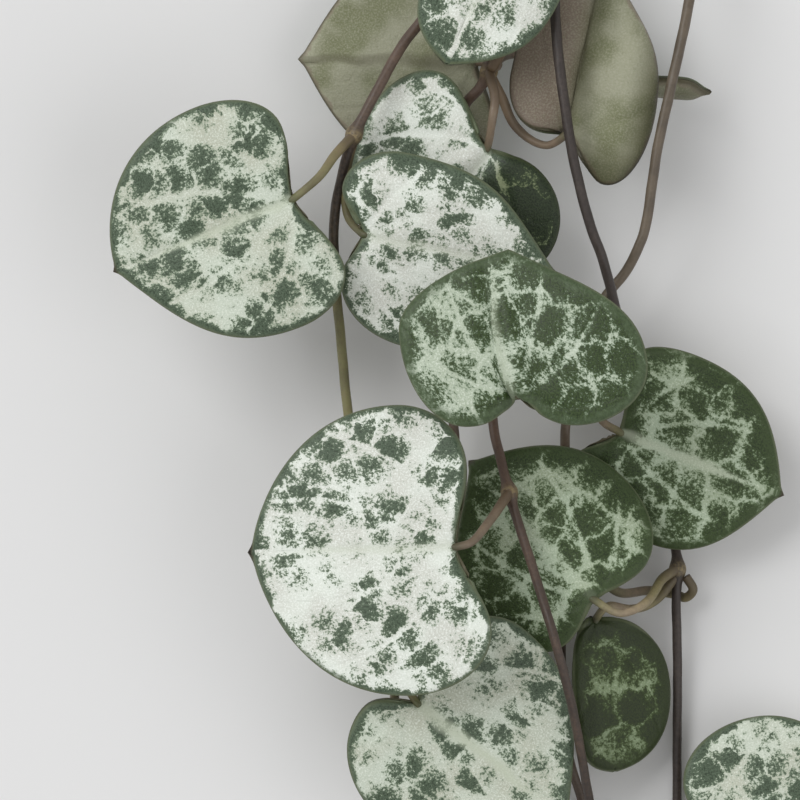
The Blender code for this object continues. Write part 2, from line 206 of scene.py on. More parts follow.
def makeVeinGroup():
    tree, given, out = newGroup(
        "veinFan",
        [("Place", "NodeSocketVector", None), ("Seed", "NodeSocketVector", (0.0, 0.0, 0.0)),
         ("Wander", "NodeSocketFloat", veinFan["wander"]), ("Breadth", "NodeSocketFloat", 1.0)],
        [("Vein", "NodeSocketFloat"), ("Midrib", "NodeSocketFloat")],
    )
    spot = flatPlace(tree, given["Place"], given["Seed"])
    moved = wandering(tree, spot, veinFan["wanderScale"], given["Wander"])
    parts = splitUp(tree, shifted(tree, moved, given["Seed"], "SUBTRACT"))
    along, across = parts[0], calc(tree, "ABSOLUTE", parts[1])
    reach = calc(tree, "SQRT", plus(tree, times(tree, along, along), times(tree, across, across)))
    turn = calc(tree, "ARCTAN2", across, along)
    fan = []
    for angle, bend, width in zip(veinFan["angles"], veinFan["bend"], veinFan["width"]):
        course = minus(tree, math.radians(angle), times(tree, reach, math.radians(bend)))
        off = calc(tree, "ABSOLUTE", minus(tree, turn, course))
        apart = times(tree, calc(tree, "MINIMUM", off, 1.0), reach)
        narrowed = ramp(tree, reach, *veinFan["narrowing"], width, veinFan["narrowShare"] * width)
        wide = times(tree, given["Breadth"], narrowed)
        core = times(tree, wide, veinFan["core"])
        fan.append(ramp(tree, apart, core, times(tree, wide, veinFan["blur"]), 1.0, 0.0))
    total = fan[0]
    for vein in fan[1:]:
        total = calc(tree, "MAXIMUM", total, vein)
    plug(tree, out["Midrib"], fan[0])
    plug(tree, out["Vein"], total)
    return tree


# How strongly each cause makes a spot dark green: the patch that it lies in, that patch's own tone, larger
# clouds, the rim, and the speckle that breaks every edge up
mottleStrength = dict(patch=1.5, own=0.95, cloud=0.6, rim=1.15, fine=1.0, grit=0.7)
# The noises: scale per millimetre, detail and roughness
mottleNoise = dict(
    fine=(3.0, 3.0, 0.72), grit=(6.5, 2.0, 0.6), middle=(0.75, 2.0, 0.55), cloud=(0.22, 2.0, 0.5),
)
# Patches are cells pulled out of shape by warp (scale, amount), with the net between them. Silver ends at the
# sums of causes in frost, and dark green starts at those in dark. band is the share of the ragged margin in
# its own tone, and bandCore the solid share of that. edge is in millimetres from the rim, and veins fade in
# between the shares of the margin in veinFade.
mottleShape = dict(
    warp=(0.7, 2.4), patchReach=0.36, netWidth=0.17, frost=(-0.38, 0.10), dark=(-0.05, 0.32),
    ragged=1.1, band=0.5, bandCore=0.45, edge=(0.04, 0.26), veinFade=(0.3, 1.2),
)


def makeMottleGroup():
    numbers = {
        "Patch Size": 2.6, "Cover": 0.0, "Speckle": 2.0, "Softness": 1.0, "Margin": 0.9, "Vein": 0.0,
        "Vein Keep": 0.5, "Net Keep": 0.2,
    }
    tree, given, out = newGroup(
        "leafMottle",
        [("Place", "NodeSocketVector", None), ("Seed", "NodeSocketVector", (0.0, 0.0, 0.0)),
         *[(label, "NodeSocketFloat", value) for label, value in numbers.items()]],
        [(label, "NodeSocketFloat") for label in "Frost Dark Rim Edge Net Grain Grit Cloud".split()],
    )
    near = splitUp(tree, given["Place"])[2]
    spot = flatPlace(tree, given["Place"], given["Seed"])
    fine, grit, middle, cloud = [noise(tree, spot, *kind)["Fac"] for kind in mottleNoise.values()]
    warped = wandering(tree, spot, *mottleShape["warp"])
    cells = addNode(tree, "ShaderNodeTexVoronoi", voronoi_dimensions="2D", feature="F1")
    borders = addNode(tree, "ShaderNodeTexVoronoi", voronoi_dimensions="2D", feature="DISTANCE_TO_EDGE")
    for node in (cells, borders):
        tree.links.new(warped, node.inputs["Vector"])
        plug(tree, node.inputs["Scale"], calc(tree, "DIVIDE", 1.0, given["Patch Size"]))
    own = addNode(tree, "ShaderNodeSeparateColor")
    tree.links.new(cells.outputs["Color"], own.inputs[0])
    net = ramp(tree, borders.outputs["Distance"], 0.0, mottleShape["netWidth"], 1.0, 0.0)
    raggedRim = plus(tree, near, times(tree, minus(tree, middle, 0.5), mottleShape["ragged"]))
    fadeStart, fadeEnd = [times(tree, given["Margin"], share) for share in mottleShape["veinFade"]]
    vein = times(tree, given["Vein"], ramp(tree, near, fadeStart, fadeEnd))
    causes = dict(
        patch=minus(tree, mottleShape["patchReach"], cells.outputs["Distance"]),
        own=minus(tree, own.outputs[0], 0.5),
        cloud=minus(tree, middle, 0.5),
        rim=ramp(tree, raggedRim, 0.0, given["Margin"], 1.0, 0.0),
        fine=times(tree, minus(tree, fine, 0.5), given["Speckle"]),
        grit=times(tree, minus(tree, grit, 0.5), given["Speckle"]),
    )
    field = given["Cover"]
    for name, cause in causes.items():
        field = calc(tree, "MULTIPLY_ADD", cause, mottleStrength[name], field)
    field = minus(tree, field, times(tree, vein, given["Vein Keep"]))
    field = minus(tree, field, times(tree, net, given["Net Keep"]))
    field = calc(tree, "DIVIDE", field, given["Softness"])
    band = times(tree, given["Margin"], mottleShape["band"])
    solid = times(tree, band, mottleShape["bandCore"])
    plug(tree, out["Frost"], ramp(tree, field, *mottleShape["frost"], 1.0, 0.0))
    plug(tree, out["Dark"], ramp(tree, field, *mottleShape["dark"]))
    plug(tree, out["Rim"], ramp(tree, raggedRim, solid, band, 1.0, 0.0))
    plug(tree, out["Edge"], ramp(tree, near, *mottleShape["edge"], 1.0, 0.0))
    plug(tree, out["Net"], net)
    plug(tree, out["Grain"], fine)
    plug(tree, out["Grit"], grit)
    plug(tree, out["Cloud"], cloud)
    return tree


print("shader groups")
veinGroup = makeVeinGroup()
mottleGroup = makeMottleGroup()

tones = dict(
    fleck=srgb(228, 234, 222),
    silver=srgb(198, 207, 191),
    silverWarm=srgb(184, 188, 170),
    middle=srgb(130, 146, 122),
    patch=srgb(82, 98, 78),
    patchDeep=srgb(46, 60, 42),
    margin=srgb(92, 106, 84),
    vein=srgb(190, 198, 176),
    edge=srgb(98, 106, 78),
    mucro=srgb(58, 50, 34),
    under=srgb(152, 153, 130),
    underShade=srgb(116, 120, 88),
    underFleck=srgb(176, 174, 156),
    underRose=srgb(128, 112, 100),
    underLine=srgb(84, 80, 60),
    # shade is the tone of painted shade, multiplied into a leaf where its shades say
    shade=srgb(190, 190, 150),
)
# Where a noise lays one tone over another: from, to, and how much of it at either end if that isn't 0 and 1
spread = dict(
    warm=(0.35, 0.65), fleck=(0.44, 0.68, 0.0, 0.75), patch=(0.36, 0.6), margin=(0.36, 0.58, 0.9, 0.45),
    underShade=(0.38, 0.62), underFleck=(0.42, 0.66, 0.0, 0.35), underGrain=(0.5, 0.75, 0.0, 0.35),
)
# How much of a line shows. The midrib's fades out between two shares of the leaf's length, and the point's
# colour starts and is full so far before and after the tip.
showing = dict(
    midrib=0.35, midribFade=(0.55, 0.92), edge=0.75, point=(0.35, 0.1), underRim=0.55, underMidrib=0.5,
)


# A slant is a heading across the leaf in degrees, where it starts and ends in millimetres, and its amount
def slantMask(tree, place, slant):
    heading, start, end, amount = slant
    parts = splitUp(tree, place)
    aside = times(tree, parts[1], math.sin(math.radians(heading)))
    turned = calc(tree, "MULTIPLY_ADD", parts[0], math.cos(math.radians(heading)), aside)
    return ramp(tree, turned, start, end, 0.0, amount)


# Painted shade: each slant in a look's shades multiplies the colour towards shadeTone, darker where shade
# falls on the leaf
def shaded(tree, look, place, colour):
    tone = look.get("shadeTone", tones["shade"])
    for slant in look.get("shades", ()):
        colour = mixColour(tree, slantMask(tree, place, slant), colour, tone, "MULTIPLY")
    return colour


def leafMasks(tree, look, place):
    where = {"Place": place, "Seed": look["seed"]}
    veins = useGroup(tree, veinGroup, {**where, "Breadth": look.get("breadth", 1.0)})
    slant = slantMask(tree, place, look["slant"]) if "slant" in look else 0.0
    mottle = useGroup(tree, mottleGroup, {
        **where, "Patch Size": look["patch"], "Speckle": look["speckle"], "Margin": look["margin"],
        "Softness": look.get("softness", 1.0), "Cover": plus(tree, slant, look["cover"]),
        "Vein": veins["Vein"], "Vein Keep": look["veinKeep"], "Net Keep": look["netKeep"],
    })
    return veins, mottle


def upperColour(tree, look, place, length, veins, mottle):
    tone = {**tones, **look.get("tones", {})}
    along = splitUp(tree, place)[0]
    silver = mixColour(tree, ramp(tree, mottle["Cloud"], *spread["warm"]), tone["silver"], tone["silverWarm"])
    silver = mixColour(tree, ramp(tree, mottle["Grit"], *spread["fleck"]), silver, tone["fleck"])
    deep = mixColour(tree, ramp(tree, mottle["Grit"], *spread["patch"]), tone["patchDeep"], tone["patch"])
    colour = mixColour(tree, mottle["Frost"], tone["middle"], silver)
    colour = mixColour(tree, mottle["Dark"], colour, deep)
    broken = ramp(tree, mottle["Grain"], *spread["margin"])
    colour = mixColour(tree, times(tree, mottle["Rim"], broken), colour, tone["margin"])
    fadeStart, fadeEnd = [share * length for share in showing["midribFade"]]
    ending = ramp(tree, along, fadeStart, fadeEnd, look.get("lineShow", showing["midrib"]), 0.0)
    colour = mixColour(tree, times(tree, veins["Midrib"], ending), colour, tone["vein"])
    colour = mixColour(tree, times(tree, mottle["Edge"], showing["edge"]), colour, tone["edge"])
    if look.get("pointed", True):
        before, after = showing["point"]
        tip = ramp(tree, along, length - before, length + after)
        colour = mixColour(tree, tip, colour, tone["mucro"])
    return shaded(tree, look, place, colour)


def underColour(tree, look, place, veins, mottle):
    rosy = slantMask(tree, place, look["rosy"]) if "rosy" in look else 0.0
    shade = ramp(tree, mottle["Cloud"], *spread["underShade"])
    colour = mixColour(tree, shade, tones["under"], tones["underShade"])
    colour = mixColour(tree, rosy, colour, tones["underRose"])
    colour = mixColour(tree, ramp(tree, mottle["Grit"], *spread["underFleck"]), colour, tones["underFleck"])
    colour = mixColour(tree, ramp(tree, mottle["Grain"], *spread["underGrain"]), colour, tones["underShade"])
    colour = mixColour(tree, times(tree, mottle["Rim"], showing["underRim"]), colour, tones["underRose"])
    midrib = times(tree, veins["Midrib"], showing["underMidrib"])
    colour = mixColour(tree, midrib, colour, tones["underLine"])
    colour = mixColour(tree, mottle["Edge"], colour, tones["underLine"])
    return shaded(tree, look, place, colour)


# Veins and the net lie lower than the grit between them; the bump's height is in metres
leafSkin = dict(
    silverRough=0.62, darkRough=0.46, specular=0.4, bump=0.5, bumpHeight=0.0001, veinSunk=0.9, netShare=0.5,
)


def leafMaterial(name, look, length):
    made, tree, shader = newMaterial(name)
    place = addNode(tree, "ShaderNodeAttribute", attribute_name="place").outputs["Vector"]
    side = addNode(tree, "ShaderNodeAttribute", attribute_name="side").outputs["Fac"]
    veins, mottle = leafMasks(tree, look, place)
    upper = upperColour(tree, look, place, length, veins, mottle)
    under = underColour(tree, look, place, veins, mottle)
    plug(tree, shader.inputs["Base Color"], mixColour(tree, side, under, upper))
    roughness = ramp(tree, mottle["Dark"], 0.0, 1.0, leafSkin["silverRough"], leafSkin["darkRough"])
    plug(tree, shader.inputs["Roughness"], roughness)
    shader.inputs["Specular IOR Level"].default_value = leafSkin["specular"]
    netLine = times(tree, mottle["Net"], leafSkin["netShare"])
    sunken = times(tree, calc(tree, "MAXIMUM", veins["Vein"], netLine), leafSkin["veinSunk"])
    bumpUp(tree, shader, leafSkin, minus(tree, plus(tree, mottle["Grit"], mottle["Grain"]), sunken))
    return made


# A look says how a leaf is marked: patch is the size of its patches in millimetres, cover how much of it is
# dark, speckle how broken up the patches are, softness how gently they turn silver, margin how broad the rim
# is, veinKeep and netKeep how silvery the veins and the net stay, breadth how wide the veins are, lineShow
# how much of the midrib shows, and pointed whether the tip has its dark point. slant changes the cover across
# the blade, rosy reddens the underside, and shades are painted shade: they darken both sides by shadeTone.
brightTones = dict(silver=srgb(222, 228, 218), silverWarm=srgb(206, 208, 198), fleck=srgb(246, 250, 244))
greenTones = dict(
    silver=srgb(168, 184, 158), silverWarm=srgb(156, 170, 142), fleck=srgb(206, 216, 196),
    middle=srgb(96, 114, 80), patch=srgb(55, 73, 34), patchDeep=srgb(28, 42, 10), margin=srgb(56, 72, 36),
)
oliveTones = dict(
    greenTones, silver=srgb(128, 144, 112), silverWarm=srgb(124, 140, 104), fleck=srgb(170, 184, 156),
    middle=srgb(64, 80, 38), patch=srgb(41, 54, 14), patchDeep=srgb(24, 36, 5), margin=srgb(42, 54, 18),
)
frontTones = dict(
    greenTones, silver=srgb(184, 196, 176), silverWarm=srgb(172, 184, 162), fleck=srgb(220, 228, 214),
    middle=srgb(108, 126, 100), margin=srgb(78, 94, 66),
)
silvered = dict(patch=2.4, cover=-0.06, speckle=3.1, margin=0.85, veinKeep=0.6, netKeep=0.25)
greened = dict(
    patch=2.9, cover=0.42, speckle=4.6, softness=2.1, margin=2.3, veinKeep=1.1, netKeep=0.85, breadth=0.8,
    tones=greenTones,
)

# at is where a blade meets its stalk, and heading where its tip points, in degrees. left and right are its
# halves: the width, where it is widest, how far the lobe reaches back, where that is, and the angle at the
# tip. rise is how far the tip and the two margins lie over the stalk, and curl bends it along and across.
# notch is how far the outline sets off backwards, as a share of the lobe. A turned blade shows its underside.
# crease is the depth and breadth of a step along the midrib, valley of a dip, bow how far the midrib swings
# aside and within what length, and bulge a swelling: u, v, its spread along and across, and its height.
leaves = {
    "leafLeft": dict(
        node="leaf_left", slot="silver_leaf", at=(-8.9, 16.7, 14.0), heading=202, length=15.9,
        left=(10.1, 3.2, 1.9, 6.4, 60), right=(10.1, 4.8, 1.4, 6.0, 84), rise=(0.4, 1.0, 1.6),
        curl=(-1.4, -1.4), look=dict(silvered, cover=0.07, lineShow=0.6, seed=(3.0, 8.0, 0.0)),
    ),
    "leafLower": dict(
        node="leaf_lower", slot="silver_leaf", at=(4.6, -12.2, 17.6), heading=181.5, length=17.0,
        left=(12.2, 4.1, 2.8, 7.0, 78), right=(11.9, 4.6, 1.1, 6.6, 80), rise=(-0.6, 1.4, 0.4),
        curl=(-1.8, -1.6), look=dict(silvered, cover=-0.06, tones=brightTones, seed=(21.0, 5.0, 0.0)),
    ),
    "leafFront": dict(
        node="leaf_front", slot="green_leaf", at=(9.8, 0.3, 20.6), heading=94, length=12.2,
        left=(9.5, 5.9, 2.2, 4.2, 76), right=(10.8, 1.9, 2.7, 5.0, 58), rise=(1.2, -0.4, 2.6),
        curl=(-3.0, -1.6), notch=0.75, crease=(1.7, 1.0), bow=(1.3, 2.5),
        look=dict(
            greened, cover=0.66, speckle=5.4, pointed=False, seed=(40.0, 3.0, 0.0), tones=frontTones,
            slant=(90, -2, 4, -0.72),
        ),
    ),
    "leafMiddle": dict(
        node="leaf_middle", slot="silver_leaf", at=(-3.1, 13.8, 11.7), heading=348, length=16.6,
        left=(7.4, 2.2, 2.5, 3.6, 44), right=(8.4, 5.6, 1.0, 3.6, 60), rise=(0.8, 1.2, -0.2),
        curl=(-0.8, -1.0),
        look=dict(silvered, cover=0.02, tones=brightTones, seed=(9.0, 33.0, 0.0), slant=(90, 3, 8, 0.35)),
    ),
    # The half to the left of its heading carries painted shade: shades darken it by shadeTone, and slant
    # gives it more dark green, partly standing in for that shade
    "leafUpper": dict(
        node="leaf_upper", slot="silver_leaf", at=(7.3, 21.1, 9.4), heading=229, length=14.0,
        left=(9.8, 4.0, 1.4, 4.2, 60), right=(9.6, 2.6, 2.3, 6.2, 60), rise=(-1.4, -0.6, 0.6),
        curl=(-0.6, -1.0), crease=(0.8, 1.2),
        look=dict(
            silvered, cover=-0.10, softness=1.3, tones=brightTones, seed=(17.0, 44.0, 0.0),
            slant=(90, 0, 2.5, 1.2), veinKeep=1.1, shades=((90, 0.5, 2.5, 1.0),),
            shadeTone=srgb(150, 158, 126),
        ),
    ),
    "leafTop": dict(
        node="leaf_top", slot="silver_leaf", at=(10.0, 42.4, 14.2), heading=247, length=15.8,
        left=(6.6, 6.5, 1.6, 4.0, 66), right=(4.6, 7.0, 1.6, 2.8, 70), rise=(0.8, 0.4, 0.4),
        curl=(-1.4, -1.2),
        look=dict(silvered, cover=-0.08, tones=brightTones, pointed=False, seed=(51.0, 12.0, 0.0)),
    ),
    "leafBack": dict(
        node="leaf_back", slot="leaf_underside", at=(6.4, 28.3, 5.8), heading=179, length=14.7,
        left=(8.8, 3.4, 1.6, 5.2, 62), right=(9.2, 3.6, 1.6, 5.4, 62), rise=(-1.2, -0.8, -1.2),
        curl=(0.2, -0.4), turned=True, look=dict(silvered, seed=(5.0, 61.0, 0.0), rosy=(90, 2, 9, 0.5)),
    ),
    # Painted shade darkens its underside towards the margin right of its heading, towards the notch and,
    # slightly, over the left half: the three shades, by shadeTone
    "leafFolded": dict(
        node="leaf_folded", slot="leaf_underside", at=(13.9, 22.2, 8.6), heading=78, length=16.3,
        left=(5.6, 4.2, 0.2, 2.4, 46), right=(6.9, 2.4, 3.5, 3.9, 26), rise=(-1.0, 1.4, 1.8),
        curl=(-0.6, -2.2), turned=True,
        look=dict(
            silvered, pointed=False, seed=(71.0, 2.0, 0.0), rosy=(90, -1, 2, 0.9),
            shades=((-90, 4.0, 6.8, 0.9), (180, -1.5, 3.4, 0.8), (90, -2.4, 0.0, 0.15)),
            shadeTone=srgb(138, 136, 102),
        ),
        bulge=(6.5, -4.2, 5.5, 2.4, 1.6), valley=(1.2, 1.1),
    ),
    "leafSliver": dict(
        node="leaf_sliver", slot="leaf_underside", at=(20.6, 26.3, 4.0), heading=355, length=5.3,
        left=(0.9, 2.3, 0.2, 0.4, 30), right=(0.7, 2.4, 0.2, 0.3, 30), rise=(-0.4, 1.9, -1.9),
        curl=(0.0, 0.0), turned=True, look=dict(silvered, seed=(7.0, 77.0, 0.0)),
    ),
    "leafRight": dict(
        node="leaf_right", slot="green_leaf", at=(18.4, -2.7, 6.3), heading=339, length=14.5,
        left=(8.3, 3.6, 0.9, 6.6, 66), right=(7.8, 5.6, 2.7, 3.2, 62), rise=(0.4, 0.8, -0.8),
        curl=(-1.0, -1.2), look=dict(greened, cover=0.40, lineShow=0.5, seed=(81.0, 9.0, 0.0)),
    ),
    # slant gives the half to the left of its heading more dark green, partly as painted shade from the leaves
    # above it
    "leafInner": dict(
        node="leaf_inner", slot="green_leaf", at=(16.2, -16.7, 9.7), heading=132, length=15.4,
        left=(8.2, 4.6, 1.2, 4.0, 50), right=(8.7, 5.2, 0.8, 4.4, 70), rise=(-0.4, -1.4, -1.2),
        curl=(-0.4, -0.9),
        look=dict(greened, cover=0.36, lineShow=0.1, seed=(93.0, 5.0, 0.0), slant=(90, 0, 7, 0.6)),
    ),
    "leafOval": dict(
        node="leaf_oval", slot="green_leaf", at=(16.4, -18.3, 6.2), heading=277, length=12.9,
        left=(5.5, 5.8, 0.0, 0.6, 86), right=(2.7, 7.0, 0.2, 0.4, 86), rise=(-1.6, -2.2, 1.2),
        curl=(-0.4, -0.6),
        look=dict(
            greened, cover=0.66, speckle=2.8, softness=1.7, veinKeep=0.1, netKeep=0.35, lineShow=0.0,
            tones=oliveTones, pointed=False, seed=(11.0, 95.0, 0.0), slant=(-35, 4, 10, -0.75),
        ),
    ),
    "leafBottom": dict(
        node="leaf_bottom", slot="silver_leaf", at=(1.4, -25.2, 12.2), heading=322, length=15.9,
        left=(10.3, 3.0, 1.2, 6.4, 58), right=(9.6, 4.4, 3.3, 3.4, 60), rise=(-2.8, 0.0, -1.4),
        curl=(-0.8, -1.2), notch=0.8, look=dict(silvered, cover=-0.02, lineShow=0.7, seed=(28.0, 84.0, 0.0)),
    ),
    "leafHidden": dict(
        node="leaf_hidden", slot="green_leaf", at=(6.0, -24.0, 4.6), heading=340, length=9.2,
        left=(4.8, 2.6, 0.6, 2.0, 54), right=(4.8, 2.6, 0.6, 2.0, 54), rise=(-0.2, 0.2, 0.2),
        curl=(-0.4, -0.6), look=dict(greened, cover=0.7, tones=oliveTones, seed=(2.0, 55.0, 0.0)),
    ),
    "leafCorner": dict(
        node="leaf_corner", slot="silver_leaf", at=(26.2, -37.4, 5.2), heading=14, length=15.8,
        left=(9.7, 5.2, 1.2, 5.0, 56), right=(9.8, 4.6, 1.6, 5.8, 56), rise=(-0.6, 0.6, -0.2),
        curl=(-1.0, -1.2), look=dict(silvered, cover=0.06, seed=(66.0, 31.0, 0.0)),
    ),
}


# The outline's curves run on by lobeRound, sideRound and tipRound before they turn, as shares of the stretch
# that they cross. Rows crowd towards the notch and the rim. rimThickness grows to the full thickness within
# rounding of the rim. mucro is the small point at the tip.
blade = dict(
    outlineSteps=84, acrossSteps=30, spanSamples=80, lobeRound=0.4, sideRound=0.56, tipRound=0.52,
    notchShare=0.1, midribCrowding=1.7, rimCrowding=1.25, thickness=0.95, rimThickness=0.147, rounding=0.7,
    mucro=0.24, mucroReach=0.3,
)
# The low relief of a blade. valleyEnd and creaseEnd are the shares of the length where those die away. Side
# veins fade over veinFade before veinEnd, measured from the notch, and centreFade is how fast they and the
# pillows set in beside the midrib. Waves are in radians, for each millimetre of the pillows.
relief = dict(
    midribGroove=0.16, midribRidge=0.05, midribBreadth=0.55, valleyEnd=1.1, creaseEnd=1.15, veinGroove=0.07,
    veinBreadth=0.5, veinEnd=10.0, veinFade=6.0, centreFade=6.0, pillow=0.10, pillowWaves=(1.1, 1.0),
    ripple=0.16, rippleWaves=6.9,
)


def bezier(a, b, c, d, t):
    s = 1.0 - t
    return s**3 * a + 3 * s * s * t * b + 3 * s * t * t * c + t**3 * d


def halfOutline(half, length, notch, steps):
    width, widest, back, lobe, tipAngle = half
    tip = math.radians(tipAngle)
    reach = blade["tipRound"] * (length - widest)
    onLobe = blade["lobeRound"] * lobe
    stalk, behind = np.array((0.0, 0.0)), np.array((-back, lobe))
    side, end = np.array((widest, width)), np.array((length, 0.0))
    beforeSide = side - (blade["sideRound"] * (widest + back), 0.0)
    afterSide = side + (blade["sideRound"] * (length - widest), 0.0)
    spans = [
        (stalk, stalk + (-notch * back, onLobe), behind - (0.0, onLobe), behind),
        (behind, behind + (0.0, blade["sideRound"] * (width - lobe)), beforeSide, side),
        (side, afterSide, end + (-reach * math.cos(tip), reach * math.sin(tip)), end),
    ]
    fine = np.array([bezier(*span, t) for span in spans for t in np.linspace(0, 1, blade["spanSamples"])])
    run = np.concatenate([[0.0], np.cumsum(np.hypot(*np.diff(fine, axis=0).T))])
    at = np.linspace(0, run[-1], steps + 1)
    return np.column_stack([np.interp(at, run, fine[:, k]) for k in range(2)])


def bladeHeight(leaf, u, v):
    tipRise, leftRise, rightRise = leaf["rise"]
    alongCurl, acrossCurl = leaf["curl"]
    s = u / leaf["length"]
    t = np.abs(v) / max(leaf["left"][0], leaf["right"][0])
    return tipRise * s + alongCurl * s * s + np.where(v >= 0, leftRise, rightRise) * t + acrossCurl * t * t


def bowed(leaf, u, v):
    aside, within = leaf.get("bow", (0.0, 1.0))
    return v - aside * (1 - np.exp(-np.maximum(u, 0.0) / within))


def hump(x, breadth):
    return np.exp(-((x / breadth) ** 2))


def veinRelief(u, v, fade):
    reach = np.hypot(u, v) + 1e-6
    turn = np.arctan2(np.abs(v), u)
    ending = np.clip((relief["veinEnd"] - reach) / relief["veinFade"], 0, 1)
    depth = 0.0
    for angle, bend in zip(veinFan["angles"][1:], veinFan["bend"][1:]):
        off = (turn - math.radians(angle) + reach * math.radians(bend)) * reach
        depth = depth + relief["veinGroove"] * hump(off, relief["veinBreadth"]) * ending * fade
    return depth


def bladeRelief(leaf, u, v, t):
    seed = leaf["look"]["seed"][0]
    v = bowed(leaf, u, v)
    s = u / leaf["length"]
    fade = np.clip(t * relief["centreFade"], 0, 1)
    sink = relief["midribRidge"] if leaf.get("turned") else -relief["midribGroove"]
    height = sink * hump(v, relief["midribBreadth"]) * np.clip(1 - s, 0, 1)
    valley, valleyBreadth = leaf.get("valley", (0.0, 1.0))
    height = height - valley * hump(v, valleyBreadth) * np.clip(relief["valleyEnd"] - s, 0, 1)
    if "bulge" in leaf:
        atU, atV, spreadU, spreadV, lift = leaf["bulge"]
        height = height + lift * hump(u - atU, spreadU) * hump(v - atV, spreadV) * (1 - t**4)
    depth, breadth = leaf.get("crease", (0.0, 1.0))
    height = height - depth * (v / breadth) * hump(v, breadth) * np.clip(relief["creaseEnd"] - s, 0, 1)
    alongWave, acrossWave = relief["pillowWaves"]
    pillow = np.sin(alongWave * u + seed) * np.sin(acrossWave * v + 2 * seed) * fade * (1 - t**2)
    ripple = np.sin(relief["rippleWaves"] * np.arctan2(np.abs(v), u) + seed) * t**3
    return height - veinRelief(u, v, fade) + relief["pillow"] * pillow + relief["ripple"] * ripple


def leafPoints(leaf):
    steps, across = blade["outlineSteps"], blade["acrossSteps"]
    rows, plan, share = {}, [], []
    for side, half in ((1, leaf["left"]), (-1, leaf["right"])):
        outline = halfOutline(half, leaf["length"], leaf.get("notch", blade["notchShare"]), steps)
        for i, (u, v) in enumerate(outline):
            inner = leaf["length"] * (i / steps) ** blade["midribCrowding"]
            for j in range(across + 1):
                t = 1 - (1 - j / across) ** blade["rimCrowding"]
                if (i in (0, steps) and j) or (side < 0 and j == 0):
                    continue
                rows[side, i, j] = len(plan)
                plan.append((inner + (u - inner) * t, side * v * t))
                share.append(t if 0 < i < steps else 1.0)
    for i in range(steps + 1):  # both halves share the midrib, and notch and tip are one point each
        rows[-1, i, 0] = rows[1, i, 0]
        for side in (1, -1):
            for j in range(1, across + 1):
                rows.setdefault((side, i, j), rows[1, i, 0])
    border = [rows[1, i, across] for i in range(steps + 1)]
    border += [rows[-1, i, across] for i in range(steps - 1, 0, -1)]
    return np.array(plan), leafFaces(rows, steps, across), border, np.array(share)


def leafFaces(rows, steps, across):
    faces = []
    for side in (1, -1):
        for i in range(steps):
            for j in range(across):
                corners = [rows[side, i, j], rows[side, i + 1, j]]
                corners += [rows[side, i + 1, j + 1], rows[side, i, j + 1]]
                face = [c for k, c in enumerate(corners) if c != corners[k - 1]]
                if len(face) > 2:
                    faces.append(face if side < 0 else face[::-1])
    return faces


def rimDistance(plan, border):
    edge = plan[border]
    near = np.full(len(plan), np.inf)
    for a, b in zip(edge, np.roll(edge, -1, axis=0)):
        run = b - a
        t = np.clip(((plan - a) @ run) / max(run @ run, 1e-9), 0, 1)
        near = np.minimum(near, np.hypot(*(plan - a - t[:, None] * run).T))
    return near


def onPlant(leaf, u, v, z):
    angle = math.radians(leaf["heading"])
    x0, y0, z0 = leaf["at"]
    x = x0 + u * math.cos(angle) - v * math.sin(angle)
    y = y0 + u * math.sin(angle) + v * math.cos(angle)
    return np.column_stack([x, y, z0 + z])


def facingUp(middle, faces):
    normals = np.zeros_like(middle)
    for face in faces:
        normals[face] += np.cross(middle[face[1]] - middle[face[0]], middle[face[-1]] - middle[face[0]])
    normals /= np.linalg.norm(normals, axis=1)[:, None] + 1e-12
    if normals[:, 2].sum() < 0:
        return -normals, [face[::-1] for face in faces]
    return normals, faces


def thickened(middle, normals, near, faces, border):
    bulk = np.sqrt(1 - (1 - np.clip(near / blade["rounding"], 0, 1)) ** 2)
    half = 0.5 * (blade["rimThickness"] + (blade["thickness"] - blade["rimThickness"]) * bulk)
    top, base = middle + normals * half[:, None], middle - normals * half[:, None]
    count = len(middle)
    shell = list(faces) + [[k + count for k in reversed(face)] for face in faces]
    for a, b in zip(border, border[1:] + border[:1]):
        shell.append([b, a, a + count, b + count])
    return np.vstack([top, base]), shell


def makeLeaf(name, leaf):
    plan, faces, border, share = leafPoints(leaf)
    if leaf["look"].get("pointed", True):
        fromTip = np.hypot(plan[:, 0] - leaf["length"], plan[:, 1])
        plan[:, 0] += blade["mucro"] * hump(fromTip, blade["mucroReach"])
    u, v = plan.T
    near = rimDistance(plan, border)
    middle = onPlant(leaf, u, v, bladeHeight(leaf, u, v) + bladeRelief(leaf, u, v, share))
    normals, faces = facingUp(middle, faces)
    obj = newMesh(name, *thickened(middle, normals, near, faces, border))
    obj.data.validate()
    place = np.column_stack([u, bowed(leaf, u, v), near])
    setPlace(obj, np.vstack([place, place]))
    side = obj.data.attributes.new("side", "FLOAT", "POINT")  # 1 where the leaf's upper side shows
    upper = 0.0 if leaf.get("turned") else 1.0
    side.data.foreach_set("value", [upper] * len(plan) + [1.0 - upper] * len(plan))
    obj.data.materials.append(leafMaterial(name + "Skin", leaf["look"], leaf["length"]))
    standInFor(obj, leaf)


print("leaves")
for leafName, leafFacts in leaves.items():
    makeLeaf(leafName, leafFacts)

